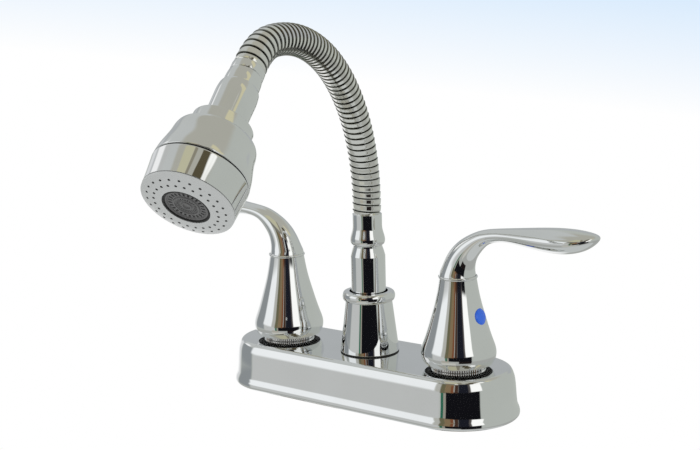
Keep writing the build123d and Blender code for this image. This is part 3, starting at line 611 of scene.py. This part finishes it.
def make_handles():
    """Bell, bead, dark ring of painted shade and lever of the cold side and their mirror images, each with
    a button whose face is a shallow dome."""
    bell = turned(bell_section(), steps=160) + [handle_x, 0, 0]
    bead = turned(bead_section(), steps=128) + [handle_x, 0, 0]
    shade_ring = turned(shade_ring_section(), steps=128) + [handle_x, 0, 0]
    lever = lever_grid() + [handle_x, 0, 0]
    dome = spline([(0, button_dome), (button_radius * 0.5, button_dome * 0.8),
                   (button_radius * 0.9, button_dome * 0.35), (button_radius, 0)], 12)
    plug = np.concatenate([dome, [(button_radius, -button_depth), (0, -button_depth)]])
    for side, sign in (("cold", 1), ("hot", -1)):
        body = f"{side}_handle"
        piece(f"{side}_bell", [(mirrored(bell, sign), True, True)], body, "chrome", [f"{side}_skirt"])
        piece(f"{side}_bead", [(mirrored(bead, sign), True, True)], body, "chrome", [f"{side}_neck_ring"])
        # A near-black ring of painted shade under the bell's foot
        piece(f"{side}_bell_shade_ring", [(mirrored(shade_ring, sign), True, True)], body, "black_rubber")
        piece(f"{side}_handle_lever", [(mirrored(lever, sign), False, True)], body, "chrome",
              [f"{side}_lever"])
        slot = "blue_plastic" if side == "cold" else "red_plastic"
        piece(f"{side}_button", [(turned(plug, button_place(sign), 48), False, True)], body, slot,
              [f"{side}_index_button"])


# Spout


def make_spout():
    """Turned outlines: a cone under a fat bead, a column that narrows twice, a waisted ferrule."""
    low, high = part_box("spout_shroud")
    foot, top = low.z, high.z
    bulge, half = shroud_bead
    neck = top - 2 * half
    socket = foot + shroud_socket
    a = np.linspace(-pi / 2, pi / 2, 25)
    bead = np.stack([shroud_neck - 0.1 * mm + bulge * np.cos(a) ** 0.8, neck + half + half * np.sin(a)], -1)
    cone = rounded([(shroud_neck, foot, 0), (shroud_radius, foot, 0.3 * mm), (shroud_neck, neck, 0)],
                   5, False)
    bore = [(shroud_bore, top), (shroud_bore, socket), (shroud_neck, socket)]
    ring("shroud", np.concatenate([cone, bead[1:], bore]), "deck", "chrome", ["spout_shroud"])
    column = [(tube_bore, column_foot, 0), (column_radius, column_foot, 0),
              (column_radius, 69.6 * mm, 0.6 * mm), (7.7 * mm, 72 * mm, 0.8 * mm),
              (column_neck, 74 * mm, 0.3 * mm), (column_neck, column_top, 0), (tube_bore, column_top, 0)]
    ring("column_tube", rounded(column), "spout", "chrome", ["spout_column"])
    waist = spline(ferrule_waist, 40) * mm
    cuff = rounded([(*waist[-1], 0), (ferrule_radius, hose_start, 0.35 * mm), (ferrule_bore, hose_start, 0)],
                   5, False)
    ring("lower_cuff", np.concatenate([waist, cuff[1:], [(ferrule_bore, column_top)]]), "spout", "chrome",
         ["lower_ferrule"])


def route(distance):
    """Out from the column, height and heading at distances along the hose: straight, two arcs, straight."""
    s = np.asarray(distance, float)
    first = np.clip(s - hose_rise, 0, long_turn * long_radius) / long_radius
    second = np.clip(s - hose_rise - long_turn * long_radius, 0, short_turn * short_radius) / short_radius
    last = np.maximum(s - hose_rise - long_turn * long_radius - short_turn * short_radius, 0)
    heading = pi / 2 - first - second
    bend = pi / 2 - long_turn
    out = long_radius * (1 - np.cos(first)) + short_radius * (np.sin(bend) - np.sin(bend - second))
    high = (hose_start + np.minimum(s, hose_rise) + long_radius * np.sin(first)
            + short_radius * (np.cos(bend - second) - np.cos(bend)))
    return out + last * np.cos(heading), high + last * np.sin(heading), heading


hose_length = hose_rise + long_turn * long_radius + short_turn * short_radius + run_out


def around_route(distance, radius, angle):
    """Points at a radius and an angle round the hose's line at each distance."""
    out, high, heading = route(distance)
    ahead = (sin(plane_turn), -cos(plane_turn))
    side = (cos(plane_turn), sin(plane_turn))
    lift = radius * np.cos(angle)
    shift = radius * np.sin(angle)
    reach = out - np.sin(heading) * lift
    return np.stack([reach * ahead[0] + shift * side[0], reach * ahead[1] + shift * side[1],
                     high + np.cos(heading) * lift], -1)


def make_hose():
    """A strip wound round the route: along it the radius follows one band's outline, and each
    turn moves on by one band, so that the grooves run round as one helix. Both ends are closed."""
    pitch = hose_length / band_count
    per_band = len(band_places)
    row = np.arange(-per_band, (band_count + 2) * per_band)
    turn, spot = row // per_band, row % per_band
    along = (turn + np.array(band_places)[spot])[:, None] * pitch
    rise = np.array(band_rises)[spot][:, None]
    depth = np.array(band_painted_shades)[spot][:, None]
    angle = np.linspace(0, 2 * pi, 73)[None, :]
    distance = np.clip(along + pitch * (angle / (2 * pi) - 1), 0, hose_length)
    to_end = np.minimum(distance, hose_length - distance)
    fade = np.clip(to_end / (0.3 * pitch), 0, 1)
    crest = groove_radius + (band_radius - groove_radius) * rise
    radius = end_radius + fade * (crest - end_radius)
    stops = np.linspace(0, hose_length, 90)[:, None]
    grids = [around_route(distance, radius, angle), around_route(stops, bore_radius, angle)]
    rims = np.array([[end_radius], [bore_radius]])
    for end in (0.0, hose_length):
        grids.append(around_route(np.full((2, 1), end), rims, angle))
    # Painted shade for the material: full in the grooves, none on the bands' crowns, faded at the ends, none on
    # the bore and end rims.
    shade = np.zeros(sum(grid[..., 0].size for grid in grids))
    shade[:radius.size] = (depth * fade).ravel()
    return piece("wound_gooseneck", [(grid, False, False) for grid in grids], None, "hose_chrome",
                 ["gooseneck_hose"], 50, shade)


def make_liner():
    """The tube inside the gooseneck, which goes a little past both of its ends."""
    stops = np.linspace(-liner_overhang, hose_length + liner_overhang, 90)[:, None]
    angle = np.linspace(0, 2 * pi, 36, endpoint=False)[None, :]
    outer = around_route(stops, liner_radii[0], angle)
    inner = around_route(stops[::-1], liner_radii[1], angle)
    return piece("bent_liner", [(np.concatenate([outer, inner]), True, True)], None, "liner_plastic",
                 ["hose_liner"])


def blend_hose(made):
    """Bakes the piece's place into its mesh; the points at the hose's two ends are worked out but not used."""
    start = around_route(0.0, 0.0, 0.0)
    end = around_route(hose_length, 0.0, 0.0)
    start[2] = end[2]
    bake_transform(made)


# Spray head


def head_ring(name, outline, body, slot, nodes, steps=160):
    return ring(name, outline, body, slot, nodes, on_head, steps)


def make_cuff_and_sleeve():
    """The plain ring at the hose's end, and the sleeve: a full skirt, a rounded step, a thin barrel."""
    top = hose_end_height
    step = top - cuff_length
    head_ring("end_cuff", rounded([(cuff_bore, step, 0), (cuff_radius, step, 0.25 * mm),
                                   (cuff_radius, top, 0.5 * mm), (cuff_bore, top, 0)], 6),
              "hose_end", "chrome", ["upper_ferrule"])
    skirt = spline([(8.35 * mm, 39.9 * mm), (8.4 * mm, 43.8 * mm), (8.5 * mm, 49.8 * mm),
                    (8.46 * mm, 52.8 * mm), (8.2 * mm, 55.2 * mm)], 32)
    barrel = spline([(7.3 * mm, 56.8 * mm), (7.25 * mm, 60.4 * mm), (7.0 * mm, step - 0.3 * mm)], 14)
    collar = rounded([(*skirt[-1], 0), (7.9 * mm, 56.1 * mm, 0.3 * mm), (7.32 * mm, 56.2 * mm, 0.25 * mm),
                      (*barrel[0], 0)], 5, False)
    foot = [(sleeve_bore, sleeve_foot), (8.15 * mm, sleeve_foot)]
    end = [(6.7 * mm, step - 0.05 * mm), (sleeve_bore, step - 0.05 * mm)]
    head_ring("sleeve", np.concatenate([foot, skirt, collar[1:], barrel[1:], end]), "hose_end",
              "chrome", ["swivel_sleeve"])


def make_nut_and_dome():
    """The flat-topped nut with a stepped bore, and the dome's shell with a rounded lip at the seam."""
    opening, cup, skirt = 7.6 * mm, 9.05 * mm, 10.8 * mm
    shelf, ledge, foot = 36.5 * mm, 30.6 * mm, 23.8 * mm
    nut = rounded([(opening, nut_top, 0.2 * mm), (nut_radius, nut_top, 0.45 * mm), (nut_radius, foot, 0),
                   (skirt, foot, 0), (skirt, ledge, 0), (cup, ledge, 0), (8.3 * mm, shelf, 0),
                   (opening, shelf, 0)], 6)
    head_ring("collar_nut", nut, "head", "chrome", ["ball_nut"])
    side = spline([(dome_radius * radius, seam_height + dome_height * height)
                   for height, radius in dome_shares], 80)
    lip = rounded([(dome_radius - 1.4 * mm, seam_height + 0.1 * mm, 0),
                   (dome_radius, seam_height, 0.35 * mm), (*side[5], 0)], 5, False)
    top = seam_height + dome_height
    inner = np.array([(nut_radius + 0.1 * mm, top), (nut_radius + 0.1 * mm, top - 1.6 * mm),
                      (14.6 * mm, top - 1.7 * mm), (17.4 * mm, 16 * mm)])
    head_ring("dome_shell", np.concatenate([lip, side[6:], inner]), "head", "chrome", ["head_dome"])


def bulge_at(radius):
    """How far the spray face stands out at a radius from its middle."""
    shares = np.array(face_shares)[::-1]
    return -face_bulge * np.interp(radius / face_radius, shares[:, 0], shares[:, 1])


def make_selector():
    """The turning ring round the bulging spray face, and the face's nozzles: two rings of small
    cups, the inner one half a step round."""
    top = seam_height - seam_width
    wide = turning_ring_radius
    side = spline([(wide * radius, top * height) for height, radius in turning_ring_shares], 40)
    corner = rounded([(*side[-1], 0), (wide, top, 0.3 * mm), (wide - 1 * mm, top, 0)], 6, False)
    outside = np.concatenate([side, corner[1:]])
    cavity, mouth, plug, seat = 17.1 * mm, 16.95 * mm, 16.8 * mm, 2.2 * mm
    inside = [(cavity, top), (cavity, seat), (mouth, seat), (mouth, 1.15 * mm),
              (outside[0][0] - 0.2 * mm, 1.1 * mm)]
    head_ring("turning_ring", np.concatenate([outside, inside]), "selector", "chrome", ["selector_ring"])
    front = spline([(face_radius * radius, -face_bulge * bulge) for radius, bulge in face_shares], 40)
    back = [(front[-1][0], seat), (plug, seat), (plug, 0.95 * mm), (face_radius, 0.95 * mm),
            (face_radius + 0.05 * mm, 0.35 * mm)]
    head_ring("spray_face", np.concatenate([front, back]), "selector", "face_plastic", ["face_plate"])
    dot = np.array([(0, -0.12), (0.6, -0.10), (0.9, -0.04), (1.0, 0.1), (1.0, 1.0), (0, 1.0)]) * hole_radius
    grids = []
    for k, radius in enumerate(hole_rings):
        for i in range(hole_count):
            angle = 2 * pi * (i + 0.5 * k) / hole_count
            place = np.eye(4)
            place[:3, 3] = (radius * cos(angle), radius * sin(angle), bulge_at(radius))
            grids.append((turned(dot, on_head @ place, 12), False, True))
    piece("spray_tips", grids, "selector", "black_rubber")
    make_screen()


def step_up(value, low, high):
    """0 below low, 1 above high and a straight ramp between."""
    return np.clip((value - low) / (high - low), 0, 1)


def band(value, low, high, edge):
    """1 from low to high and 0 beyond an edge outside them."""
    return step_up(value, low - edge, low) * (1 - step_up(value, high, high + edge))


def make_screen():
    """The rubber ring in the face's middle, and the dark screen: raised rings, with slots between
    spokes, as a height over radius and angle."""
    front = -face_bulge
    rubber = rounded([(screen_radius, front, 0.3 * mm), (rubber_radius, front, 0.3 * mm),
                      (rubber_radius, 1.6 * mm, 0), (screen_radius, 1.6 * mm, 0)], 5)
    head_ring("rubber_lip", rubber, "selector", "black_rubber", ["aerator_ring"])
    steps = slot_count * 8
    rim = screen_radius - 0.05 * mm
    edge = 0.12 * mm
    radius = np.linspace(0, rim, 76)[:, None]
    angle = np.linspace(0, 2 * pi, steps, endpoint=False)[None, :]
    raised = sum(rise * band(radius, low * mm, high * mm, edge) for low, high, rise in screen_rings)
    sunk = sum(fall * band(radius, low * mm, high * mm, edge) for low, high, fall in screen_slots)
    gap = step_up(np.cos(slot_count * angle), 0.1, 0.5)
    height = front + (0.85 - raised + gap * sunk) * mm
    front_side = np.stack([radius * np.cos(angle), radius * np.sin(angle), height], -1)
    back = turned(np.array([(rim, front + 2.4 * mm), (0, front + 2.4 * mm)]), steps=steps)
    screen = placed(np.concatenate([front_side, back]), on_head)
    piece("ringed_screen", [(screen, False, True)], "selector", "screen_plastic", ["aerator_screen"], 30)


def make_head():
    make_cuff_and_sleeve()
    make_nut_and_dome()
    make_selector()


# Light and camera


# Angles in degrees; the focal length is in pixels of a frame that many pixels wide.
camera_azimuth = 37.5
camera_pitch = 10.0
camera_roll = -1.35
camera_distance = 610.66 * mm
aim_aside = -8.22 * mm
aim_height = 84.48 * mm
focal_pixels = 1281.82
frame_pixels = 700

# Studio: each card is (middle azimuth, half width, low and high elevation, softness, colour), and
# a later card covers an earlier one. Azimuths are measured from the camera's side, positive to
# its right.
room = (0.50, 0.525, 0.49)
cards = [
    (0, 190, 42, 95, 12, (0.46, 0.455, 0.40)),
    (-135, 48, 24, 62, 10, (0.56, 0.58, 0.57)),
    (180, 45, 2, 24, 8, (0.45, 0.47, 0.48)),
    (-38, 24, 46, 76, 8, (0.56, 0.54, 0.38)),
    (-7, 7, 44, 76, 5, (0.28, 0.26, 0.20)),
    (0, 190, -48, -18, 6, (0.42, 0.43, 0.41)),
    (0, 190, -95, -46, 4, (0.58, 0.60, 0.59)),
    (-165, 22, -50, -3, 6, (1.0, 1.0, 1.0)),
    (-145, 8, -15, 15, 10, (0.75, 0.76, 0.77)),
    (-112, 22, -14, 18, 8, (0.29, 0.31, 0.32)),
    (-124, 14, 18, 33, 6, (1.0, 1.0, 1.0)),
    (-108, 12, 30, 42, 6, (0.55, 0.56, 0.55)),
    (-68, 20, -18, 5, 6, (0.57, 0.58, 0.57)),
    (-76, 18, 4, 34, 8, (0.98, 1.0, 1.01)),
    (-51, 8, 3, 30, 6, (0.50, 0.50, 0.46)),
    (-10, 48, 30, 44, 6, (0.22, 0.21, 0.18)),
    (-38, 24, -40, -26, 4, (0.58, 0.58, 0.53)),
    (-46, 12, -27, -14, 4, (0.46, 0.44, 0.38)),
    (16, 20, -30, -14, 3, (0.012, 0.008, 0.008)),
    (-41, 6, 0, 32, 4, (0.15, 0.14, 0.08)),
    (0, 35, -16, 7, 3, (0.006, 0.006, 0.008)),
    (-42, 3, -16, 1, 2, (0.025, 0.14, 0.085)),
    (-37, 2.5, -16, 1, 2, (0.33, 0.31, 0.26)),
    (-28, 9, 4, 34, 4, (0.24, 0.17, 0.095)),
    (-22, 3, 4, 30, 3, (0.20, 0.075, 0.035)),
    (-13, 4, 4, 34, 3, (0.06, 0.03, 0.02)),
    (-14, 4, 34, 40, 2, (0.95, 0.93, 0.85)),
    (4, 13, 5, 36, 3, (0.012, 0.013, 0.02)),
    (15, 3, 5, 34, 3, (0.10, 0.09, 0.085)),
    (29, 12, 7, 34, 3, (1.15, 1.15, 1.12)),
    (20, 11, 38, 54, 3, (0.10, 0.085, 0.05)),
    (34, 13, 50, 64, 3, (0.10, 0.085, 0.05)),
    (76, 8, 40, 66, 4, (0.66, 0.62, 0.42)),
    (34, 7, 28, 42, 3, (1.1, 1.1, 1.06)),
    (46, 9, 36, 50, 3, (1.1, 1.1, 1.06)),
    (55, 6, 44, 56, 3, (1.0, 1.0, 0.96)),
]

# The backdrop fades from white at the first elevation to pale blue at the second, and sooner to
# the right of the camera's side.
backdrop_white = (1.0, 1.0, 1.0, 1)
backdrop_blue = (0.708, 0.838, 0.982, 1)
backdrop_fade = (-3.55, 1.35)
backdrop_tilt = 0.124


def backdrop_colour(tree, azimuth, rise):
    """The room's far wall, by the direction that a ray goes: elevation plus tilt times sin azimuth."""
    leaning = calc(tree, "MULTIPLY_ADD", calc(tree, "SINE", azimuth), backdrop_tilt, rise)
    start, full = backdrop_fade
    return blend(tree, ramp(tree, leaning, radians(start), radians(full)), backdrop_white, backdrop_blue)


def make_floor():
    """The deck under the tap. The camera sees it as white as the wall's foot, so that no edge shows,
    and every other ray passes through it to the studio."""
    size = 1.0
    corners = [(-size, -size), (size, -size), (size, size), (-size, size)]
    mesh = bpy.data.meshes.new("floor")
    mesh.from_pydata([(x, y, -0.05 * mm) for x, y in corners], [], [(0, 1, 2, 3)])
    floor = bpy.data.objects.new("floor", mesh)
    bpy.context.scene.collection.objects.link(floor)
    made = bpy.data.materials.new("floor")
    made.use_nodes = True
    tree = made.node_tree
    tree.nodes.clear()
    path = node(tree, "LightPath")
    clear = node(tree, "BsdfTransparent")
    glow = node(tree, "Emission", {"Color": backdrop_white})
    seen = node(tree, "MixShader", {0: path.outputs["Is Camera Ray"], 1: clear.outputs[0],
                                    2: glow.outputs[0]})
    node(tree, "OutputMaterial", {"Surface": seen.outputs[0]})
    mesh.materials.append(made)


def near(tree, angle, half, soft):
    """1 where an angle is less than half degrees from zero and 0 beyond, with a soft edge."""
    away = calc(tree, "ABSOLUTE", angle)
    return ramp(tree, away, radians(half + soft / 2), radians(half - soft / 2),
                interpolation_type="SMOOTHSTEP")


def make_world():
    """Mirrored rays see the cards, the others an even white light, and the camera the far wall."""
    world = bpy.data.worlds.new("studio")
    bpy.context.scene.world = world
    world.use_nodes = True
    tree = world.node_tree
    tree.nodes.clear()
    direction = node(tree, "TexCoord").outputs["Generated"]
    x, y, z = node(tree, "SeparateXYZ", {0: direction}).outputs
    turn = calc(tree, "ARCTAN2", x, calc(tree, "MULTIPLY", y, -1.0))
    azimuth = calc(tree, "WRAP", calc(tree, "SUBTRACT", turn, radians(camera_azimuth)), pi, -pi)
    rise = calc(tree, "ARCSINE", z)
    colour = node(tree, "RGB").outputs[0]
    colour.default_value = (*room, 1)
    for middle, half, low, high, soft, tint in cards:
        aside = calc(tree, "WRAP", calc(tree, "SUBTRACT", azimuth, radians(middle)), pi, -pi)
        above = calc(tree, "SUBTRACT", rise, radians((low + high) / 2))
        mask = calc(tree, "MULTIPLY", near(tree, aside, half, soft),
                    near(tree, above, (high - low) / 2, soft))
        colour = blend(tree, mask, colour, (*tint, 1))
    path = node(tree, "LightPath")
    soft_dome = node(tree, "Background", {"Color": (1.0, 1.0, 1.0, 1), "Strength": 1.0})
    studio = node(tree, "Background", {"Color": colour})
    lit = node(tree, "MixShader", {0: path.outputs["Is Glossy Ray"], 1: soft_dome.outputs[0],
                                   2: studio.outputs[0]})
    backdrop = node(tree, "Background", {"Color": backdrop_colour(tree, azimuth, rise)})
    seen = node(tree, "MixShader", {0: path.outputs["Is Camera Ray"], 1: lit.outputs[0],
                                    2: backdrop.outputs[0]})
    node(tree, "OutputWorld", {"Surface": seen.outputs[0]})


def make_camera():
    """The photograph's camera: back, right and up are its axes before it is rolled."""
    azimuth, pitch, roll = radians(camera_azimuth), radians(camera_pitch), radians(camera_roll)
    back = Vector((sin(azimuth) * cos(pitch), -cos(azimuth) * cos(pitch), sin(pitch)))
    right = Vector((cos(azimuth), sin(azimuth), 0))
    up = back.cross(right)
    turned_right = cos(roll) * right + sin(roll) * up
    turned_up = -sin(roll) * right + cos(roll) * up
    target = aim_aside * right + Vector((0, 0, aim_height))
    data = bpy.data.cameras.new("camera")
    data.sensor_width = 36.0
    data.lens = focal_pixels * data.sensor_width / frame_pixels
    data.clip_start = 10 * mm
    made = bpy.data.objects.new("camera", data)
    made.matrix_world = Matrix.Translation(target + back * camera_distance) @ Matrix(
        (turned_right, turned_up, back)).transposed().to_4x4()
    bpy.context.scene.collection.objects.link(made)
    bpy.context.scene.camera = made


bpy.context.scene.view_settings.view_transform = "Standard"
make_camera()
make_floor()
make_world()
dress_nodes()
make_base()
make_handles()
make_spout()
blend_hose(make_hose())
blend_hose(make_liner())
make_head()
